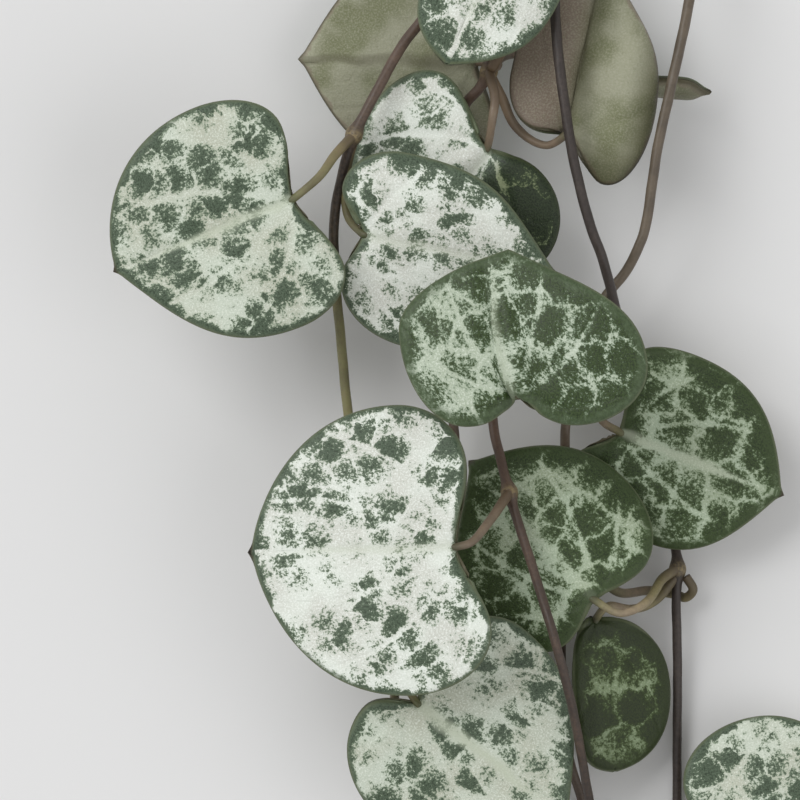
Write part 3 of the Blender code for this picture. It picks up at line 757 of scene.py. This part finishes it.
# Each strand starts at its root, inside what it grows from, and runs through path; nodes are its joints,
# stalks carry the leaves and shoots are young side growths. tones run along the strand, stalkTones along its
# stalks, and fleck is the tone of its specks.
strands = {
    "strandLeft": dict(
        node="strand_left", slot="dark_stem", fleck=srgb(120, 100, 84),
        tones=(
            (0.0, srgb(96, 76, 62)), (0.27, srgb(84, 66, 54)), (0.36, srgb(44, 37, 31)),
            (0.43, srgb(52, 46, 32)), (0.47, srgb(134, 132, 88)), (1.0, srgb(92, 84, 60)),
        ),
        stalkTones=(
            (0.0, srgb(104, 88, 62)), (0.5, srgb(134, 128, 88)), (0.86, srgb(120, 118, 80)),
            (1.0, srgb(62, 76, 44)),
        ),
        root=(4.3, 46.9, 1.1),
        path=[
            (4.3, 45.85, 1.3), (3.9, 41.5, 4.6), (3.4, 36.6, 8.4), (2.2, 32.4, 9.8), (0.1, 29.4, 10.6),
            (-1.9, 25.8, 11.4), (-3.8, 22.1, 11.4), (-4.8, 18.8, 10.6), (-5.5, 15.0, 9.4), (-5.4, 10.2, 8.2),
            (-5.0, 5.6, 7.2), (-4.3, -1.4, 6.6), (-3.2, -8.3, 6.6), (-1.8, -15.0, 7.2), (-0.7, -20.4, 7.6),
            (-0.4, -26.7, 5.0), (0.0, -33.3, 1.6), (0.2, -38.0, 0.36),
        ],
        nodes=[(-3.8, 22.1, 11.4), (-0.7, -20.4, 7.6)],
        stalks={
            "leafLeft": [(-3.8, 22.1, 11.6), (-5.3, 20.5, 12.6), (-6.8, 18.5, 13.6)],
            "leafMiddle": [(-3.8, 21.9, 11.2), (-4.4, 19.6, 10.7), (-4.6, 17.2, 10.1), (-4.3, 15.2, 10.1)],
            "leafBottom": [(-0.7, -20.4, 7.8), (-0.1, -22.0, 9.6), (0.5, -23.8, 11.6)],
        },
    ),
    "strandRight": dict(
        node="strand_right", slot="dark_stem", fleck=srgb(92, 80, 74),
        tones=(
            (0.0, srgb(46, 40, 36)), (0.45, srgb(52, 44, 40)), (0.6, srgb(50, 42, 36)),
            (1.0, srgb(44, 36, 32)),
        ),
        stalkTones=(
            (0.0, srgb(98, 84, 62)), (0.35, srgb(132, 124, 82)), (0.7, srgb(168, 150, 124)),
            (0.9, srgb(140, 134, 96)), (1.0, srgb(58, 72, 42)),
        ),
        root=(13.3, 47.3, 1.1),
        path=[
            (13.3, 46.2, 1.3), (13.1, 42.6, 4.6), (12.9, 37.4, 9.4), (12.9, 33.0, 11.2), (13.2, 28.7, 11.6),
            (13.8, 24.0, 11.7), (14.5, 19.9, 11.7), (15.7, 15.0, 11.5), (17.0, 11.4, 10.9), (18.2, 6.8, 8.2),
            (19.0, 2.4, 4.6), (20.0, -1.7, 3.0), (21.3, -6.7, 2.5), (22.9, -11.6, 2.6), (23.3, -14.2, 2.9),
            (23.2, -16.8, 2.7), (23.3, -21.7, 2.1), (23.3, -30.0, 1.2), (23.3, -36.6, 0.6),
            (23.4, -40.0, 0.36),
        ],
        nodes=[(19.4, 0.6, 3.7), (23.3, -14.2, 2.9), (23.3, -36.6, 0.9)],
        stalks={
            "leafRight": [(19.4, 0.6, 3.9), (18.0, 0.6, 4.1), (16.9, -0.4, 4.5), (16.9, -1.7, 4.8)],
            "leafInner": [(23.2, -14.2, 3.1), (21.9, -15.1, 4.9), (20.6, -16.9, 7.2), (18.4, -17.8, 8.9)],
            "leafOval": [(23.2, -14.7, 2.9), (21.4, -16.8, 3.9), (19.4, -17.5, 5.8), (17.5, -17.2, 7.2)],
            "leafCorner": [(23.3, -36.6, 0.8), (24.0, -37.4, 2.2), (24.9, -37.7, 4.2)],
        },
        shoots=[[
            (24.0, -14.8, 2.8), (24.6, -15.9, 2.6), (24.0, -16.6, 1.9), (23.0, -16.3, 1.4),
            (20.8, -16.0, 2.4), (18.6, -16.2, 4.0), (17.2, -15.4, 5.4),
        ]],
    ),
    "strandOuter": dict(
        node="strand_outer", slot="brown_stem", fleck=srgb(124, 112, 96),
        tones=(
            (0.0, srgb(92, 81, 68)), (0.5, srgb(98, 87, 72)), (0.75, srgb(90, 72, 58)),
            (1.0, srgb(80, 64, 52)),
        ),
        root=(25.5, 46.4, 1.1),
        path=[
            (25.5, 44.9, 1.3), (25.2, 40.8, 3.6), (24.6, 36.0, 7.0), (23.7, 31.0, 8.8), (22.4, 25.2, 9.5),
            (21.5, 21.1, 9.6), (20.6, 15.0, 9.3), (19.9, 12.8, 9.1), (18.9, 10.8, 8.5), (17.0, 8.4, 8.0),
            (15.4, 5.8, 7.5), (14.5, 2.5, 7.2), (13.9, -2.0, 6.0), (13.8, -5.0, 5.0), (13.7, -10.0, 4.0),
            (13.6, -16.7, 3.2), (13.6, -25.0, 2.4), (14.2, -29.9, 1.8), (15.2, -33.3, 1.2),
            (16.1, -36.4, 0.7),
        ],
        nodes=[], stalks={},
    ),
    "strandCentre": dict(
        node="strand_centre", slot="dark_stem", fleck=srgb(116, 94, 78),
        tones=(
            (0.0, srgb(84, 66, 54)), (0.45, srgb(80, 62, 50)), (0.6, srgb(86, 66, 54)),
            (0.78, srgb(64, 52, 44)), (1.0, srgb(54, 46, 40)),
        ),
        stalkTones=(
            (0.0, srgb(104, 86, 62)), (0.45, srgb(126, 110, 90)), (0.85, srgb(134, 118, 98)),
            (1.0, srgb(70, 82, 52)),
        ),
        root=(8.3, 47.1, 1.1),
        path=[
            (8.3, 46.0, 1.3), (8.3, 42.6, 4.8), (8.2, 38.6, 8.2), (7.8, 33.3, 8.8), (7.6, 30.0, 9.0),
            (7.4, 27.4, 8.8), (6.6, 26.0, 8.4), (5.4, 24.6, 7.6), (4.8, 21.7, 6.4), (5.2, 16.7, 5.4),
            (6.2, 10.0, 5.4), (7.3, 3.3, 7.8), (7.8, -2.2, 10.0), (8.4, -5.0, 10.8), (9.1, -7.7, 11.4),
            (9.9, -10.4, 12.0), (10.8, -13.2, 12.4), (11.8, -16.4, 12.6), (12.9, -20.0, 13.2),
            (14.0, -24.2, 12.7), (14.9, -28.3, 10.6), (15.7, -32.8, 7.2), (16.8, -38.6, 3.4),
        ],
        nodes=[(7.4, 27.4, 8.9), (7.3, 3.3, 7.8), (9.1, -7.7, 11.4)],
        stalks={
            "leafUpper": [(7.4, 27.4, 9.2), (7.9, 25.4, 10.6), (7.7, 23.4, 11.1)],
            "leafFolded": [
                (7.5, 27.2, 8.8), (8.5, 25.3, 7.8), (9.5, 23.1, 6.9), (10.9, 21.8, 6.8), (12.4, 21.3, 7.6),
            ],
            "leafBack": [(7.4, 27.6, 8.6), (8.1, 27.9, 7.6), (8.0, 28.2, 6.6)],
            "leafTop": [(7.6, 27.6, 9.4), (9.4, 31.0, 11.0), (10.4, 36.6, 10.8), (10.4, 40.6, 11.0)],
            "leafSliver": [
                (7.6, 27.7, 8.6), (8.4, 28.6, 6.8), (9.6, 29.0, 4.6), (12.0, 28.7, 3.4), (15.4, 27.8, 3.0),
                (18.2, 26.8, 3.3),
            ],
            "leafFront": [(7.3, 3.3, 8.4), (8.4, 2.8, 12.0), (9.4, 1.8, 16.0), (9.8, 1.1, 18.4)],
            "leafLower": [(9.1, -7.7, 11.6), (8.2, -9.0, 13.6), (7.0, -10.6, 16.0), (5.9, -11.8, 17.4)],
        },
    ),
    "strandShort": dict(
        node="strand_short", slot="dark_stem", fleck=srgb(120, 104, 88),
        tones=((0.0, srgb(90, 74, 60)), (1.0, srgb(78, 64, 52))), root=(6.7, 7.1, 6.1),
        path=[
            (6.1, 6.2, 5.0), (5.4, 4.6, 5.0), (4.7, 1.6, 5.2), (4.5, -1.8, 5.4), (4.6, -3.6, 5.2),
            (4.8, -10.0, 4.8), (5.2, -16.7, 4.6), (5.2, -20.6, 4.6), (5.3, -22.8, 4.6),
        ],
        nodes=[],
        stalks={"leafHidden": [(5.3, -22.8, 4.6)]},
    ),
}

# A strand swells at its nodes. A stalk starts stout and thins, passes shortOfNotch before its leaf's notch,
# ends as far as tuck inside the blade, and closes from closingFrom on. wander makes the bark uneven.
stem = dict(
    radius=0.41, taper=(1.12, 0.92), sides=18, steps=12, nodeSwell=0.34, swellReach=0.75, scarReach=0.5,
    wander=0.05, wanderTurns=3, wanderTwist=0.7, wanderWaves=1.3,
    stalkRadius=0.39, stalkStout=1.15, stalkThinning=0.3, thinningRate=1.6, shortOfNotch=0.15, tuck=0.5,
    closingFrom=0.9, closingRate=5.0, shootSeed=2.0,
)


def smoothPath(points, steps):
    points = [np.array(p, float) for p in points]
    ends = [2 * points[0] - points[1], *points, 2 * points[-1] - points[-2]]
    curve = []
    for a, b, c, d in zip(ends, ends[1:], ends[2:], ends[3:]):
        for k in range(steps):
            t = k / steps
            turning = (2 * a - 5 * b + 4 * c - d) * t * t + (3 * b - a - 3 * c + d) * t**3
            curve.append(0.5 * (2 * b + (c - a) * t + turning))
    curve.append(points[-1])
    return np.array(curve)


def nearNodes(curve, nodes, reach):
    apart = [np.linalg.norm(curve - np.array(node), axis=1) for node in nodes]
    return [hump(distance, reach) for distance in apart]


def tubePoints(curve, radii, sides, seed, kind, nodes=()):
    up = np.array((0.0, 0.0, 1.0))
    points, faces, place = [], [], []
    run = np.concatenate([[0.0], np.cumsum(np.linalg.norm(np.diff(curve, axis=0), axis=1))])
    scar = np.max([np.zeros(len(curve)), *nearNodes(curve, nodes, stem["scarReach"])], axis=0)
    for i, centre in enumerate(curve):
        ahead = curve[min(i + 1, len(curve) - 1)] - curve[max(i - 1, 0)]
        ahead /= np.linalg.norm(ahead)
        across = np.cross(ahead, up)
        across /= np.linalg.norm(across)
        upward = np.cross(across, ahead)
        wave = stem["wander"] * math.sin(stem["wanderWaves"] * run[i] + seed)
        for k in range(sides):
            turn = 2 * math.pi * (k + 0.5) / sides - 0.5 * math.pi
            ridge = 1 + wave * math.sin(stem["wanderTurns"] * turn + stem["wanderTwist"] * run[i] + seed)
            point = centre + radii[i] * ridge * (math.cos(turn) * across + math.sin(turn) * upward)
            point[2] = max(point[2], 0.0)
            points.append(point)
            place.append((run[i] / run[-1], scar[i], kind))
    last = (len(curve) - 1) * sides
    for i in range(0, last, sides):
        for k in range(sides):
            a, b = i + k, i + (k + 1) % sides
            faces.append([a, b, b + sides, a + sides])
    faces.append(list(range(sides))[::-1])
    faces.append(list(range(last, last + sides)))
    return points, faces, place


def strandTube(name, strand):
    curve = smoothPath([strand["root"], *strand["path"]], stem["steps"])
    radii = stem["radius"] * np.linspace(*stem["taper"], len(curve))
    for swelling in nearNodes(curve, strand["nodes"], stem["swellReach"]):
        radii = radii + stem["nodeSwell"] * swelling
    return tubePoints(curve, radii, stem["sides"], len(name), 0.0, strand["nodes"])


def stalkTube(leafName, points):
    leaf = leaves[leafName]
    notch, last = np.array(leaf["at"]), np.array(points[-1], float)
    run = (notch - last) / np.linalg.norm(notch - last)
    heading = math.radians(leaf["heading"])
    inward = notch + stem["tuck"] * np.array((math.cos(heading), math.sin(heading), 0.0))
    curve = smoothPath([*points, notch - stem["shortOfNotch"] * run, inward], stem["steps"])
    share = np.linspace(0, 1, len(curve))
    thinned = stem["stalkStout"] - stem["stalkThinning"] * np.minimum(share * stem["thinningRate"], 1)
    closed = 1 - stem["closingRate"] * np.maximum(share - stem["closingFrom"], 0.0)
    radii = stem["stalkRadius"] * thinned * closed
    return tubePoints(curve, radii, stem["sides"], len(leafName), 1.0)


def shootTube(points):
    curve = smoothPath(points, stem["steps"])
    radii = np.full(len(curve), stem["stalkRadius"])
    return tubePoints(curve, radii, stem["sides"], stem["shootSeed"], 1.0)


def toneRamp(tree, value, stops):
    node = addNode(tree, "ShaderNodeValToRGB")
    plug(tree, node.inputs[0], value)
    marks = node.color_ramp.elements
    while len(marks) < len(stops):
        marks.new(0.5)
    for mark, (at, colour) in zip(marks, stops):
        mark.position, mark.color = at, colour
    return node.outputs[0]


# grain and cloud are noises with their scale by the metre, and the masks are built as in spread
bark = dict(
    grain=(3200.0, 4.0, 0.7), cloud=(320.0, 2.0), fleckMask=(0.35, 0.7, 0.0, 0.35),
    shadowMask=(0.35, 0.65, 0.35, 0.0), scarMask=(0.35, 0.6, 0.1, 0.5), roughMask=(0.3, 0.7, 0.38, 0.58),
    shadow=srgb(30, 24, 20), scar=srgb(168, 150, 104), bump=0.4, bumpHeight=0.00008,
)


def makeBarkGroup():
    tree, given, out = newGroup(
        "stemBark",
        [("Base", "NodeSocketColor", (0.1, 0.1, 0.1, 1.0)),
         ("Fleck", "NodeSocketColor", (0.3, 0.3, 0.3, 1.0)), ("Scar", "NodeSocketFloat", 0.0)],
        [("Color", "NodeSocketColor"), ("Grain", "NodeSocketFloat")],
    )
    where = addNode(tree, "ShaderNodeTexCoord").outputs["Object"]
    grain = noise(tree, where, *bark["grain"])["Fac"]
    cloud = noise(tree, where, *bark["cloud"])["Fac"]
    colour = mixColour(tree, ramp(tree, grain, *bark["fleckMask"]), given["Base"], given["Fleck"])
    colour = mixColour(tree, ramp(tree, cloud, *bark["shadowMask"]), colour, bark["shadow"])
    scarred = times(tree, given["Scar"], ramp(tree, grain, *bark["scarMask"]))
    plug(tree, out["Color"], mixColour(tree, scarred, colour, bark["scar"]))
    plug(tree, out["Grain"], grain)
    return tree


barkGroup = makeBarkGroup()


def stemMaterial(name, strand):
    made, tree, shader = newMaterial(name)
    place = addNode(tree, "ShaderNodeAttribute", attribute_name="place").outputs["Vector"]
    along, scar, kind = splitUp(tree, place)
    strandTone = toneRamp(tree, along, strand["tones"])
    stalkTone = toneRamp(tree, along, strand.get("stalkTones", strand["tones"]))
    base = mixColour(tree, ramp(tree, kind, 0.4, 0.6), strandTone, stalkTone)
    skin = useGroup(tree, barkGroup, {"Base": base, "Fleck": strand["fleck"], "Scar": scar})
    plug(tree, shader.inputs["Base Color"], skin["Color"])
    plug(tree, shader.inputs["Roughness"], ramp(tree, skin["Grain"], *bark["roughMask"]))
    bumpUp(tree, shader, bark, skin["Grain"])
    return made


def makeStem(name, barkName, facts, parts):
    points, faces, place = [], [], []
    for partPoints, partFaces, partPlace in parts:
        faces += [[k + len(points) for k in face] for face in partFaces]
        points += partPoints
        place += partPlace
    obj = newMesh(name, points, faces)
    setPlace(obj, place)
    obj.data.materials.append(stemMaterial(barkName, facts))
    standInFor(obj, facts)


print("strands")
for strandName, strandFacts in strands.items():
    tubes = [strandTube(strandName, strandFacts)]
    tubes += [stalkTube(leafName, points) for leafName, points in strandFacts["stalks"].items()]
    tubes += [shootTube(points) for points in strandFacts.get("shoots", [])]
    makeStem(strandName, strandName + "Bark", strandFacts, tubes)

# The older stem that the strands grow from
leader = dict(
    node="leader_stem", slot="woody_stem", radius=1.25, steps=20, sides=28, seed=1.0,
    tones=((0.0, srgb(112, 92, 72)), (1.0, srgb(100, 82, 64))), fleck=srgb(150, 128, 104),
    path=[(-1.0, 46.4, 1.0), (4.0, 47.5, 1.0), (12.0, 47.9, 1.0), (20.0, 47.5, 1.0), (27.5, 46.6, 1.0)],
)
leaderCurve = smoothPath(leader["path"], leader["steps"])
leaderRadii = np.full(len(leaderCurve), leader["radius"])
leaderTube = tubePoints(leaderCurve, leaderRadii, leader["sides"], leader["seed"], 0.0)
makeStem("leaderStem", "leaderBark", leader, [leaderTube])

print("floor, light and camera")
floorFacts = dict(size=8.0, tone=srgb(225, 225, 225), roughness=0.9)  # floor and lights are in metres
room = dict(tone=(0.9, 0.9, 0.9, 1.0), strength=0.58)  # the even light from all around
lights = {
    "key": dict(at=(-1.9, 1.4, 2.6), size=2.2, power=66.0),
    "fill": dict(at=(2.0, -1.0, 2.4), size=3.0, power=25.0),
}
# The camera looks straight down and sees photoWidth at the height of level; clipEnd is in metres
camera = dict(lens=600.0, sensor=36.0, photoWidth=66.67, level=11.0, clipEnd=20.0)


def makeFloor():
    half = floorFacts["size"] / 2
    corners = [(-half, -half, 0), (half, -half, 0), (half, half, 0), (-half, half, 0)]
    mesh = bpy.data.meshes.new("floor")
    mesh.from_pydata(corners, [], [(0, 1, 2, 3)])
    floor = newObject("floor", mesh)
    made, _, shader = newMaterial("paleFloor")
    shader.inputs["Base Color"].default_value = floorFacts["tone"]
    shader.inputs["Roughness"].default_value = floorFacts["roughness"]
    mesh.materials.append(made)


def makeLights():
    for name, facts in lights.items():
        lamp = bpy.data.lights.new(name, "AREA")
        lamp.energy, lamp.size = facts["power"], facts["size"]
        obj = newObject(name, lamp)
        obj.location = facts["at"]
        obj.rotation_euler = Vector(facts["at"]).to_track_quat("Z", "Y").to_euler()
    world = bpy.data.worlds.new("softRoom")
    world.use_nodes = True
    background = world.node_tree.nodes["Background"]
    background.inputs["Color"].default_value = room["tone"]
    background.inputs["Strength"].default_value = room["strength"]
    bpy.context.scene.world = world


def makeCamera():
    view = bpy.data.cameras.new("view")
    view.lens, view.sensor_width = camera["lens"], camera["sensor"]
    view.clip_end = camera["clipEnd"]
    away = camera["photoWidth"] * camera["lens"] / camera["sensor"] + camera["level"]
    obj = newObject("view", view)
    obj.location = (-planCentre[0] * mm, -planCentre[1] * mm, away * mm)
    bpy.context.scene.camera = obj
    bpy.context.scene.view_settings.view_transform = "Standard"


makeFloor()
makeLights()
makeCamera()
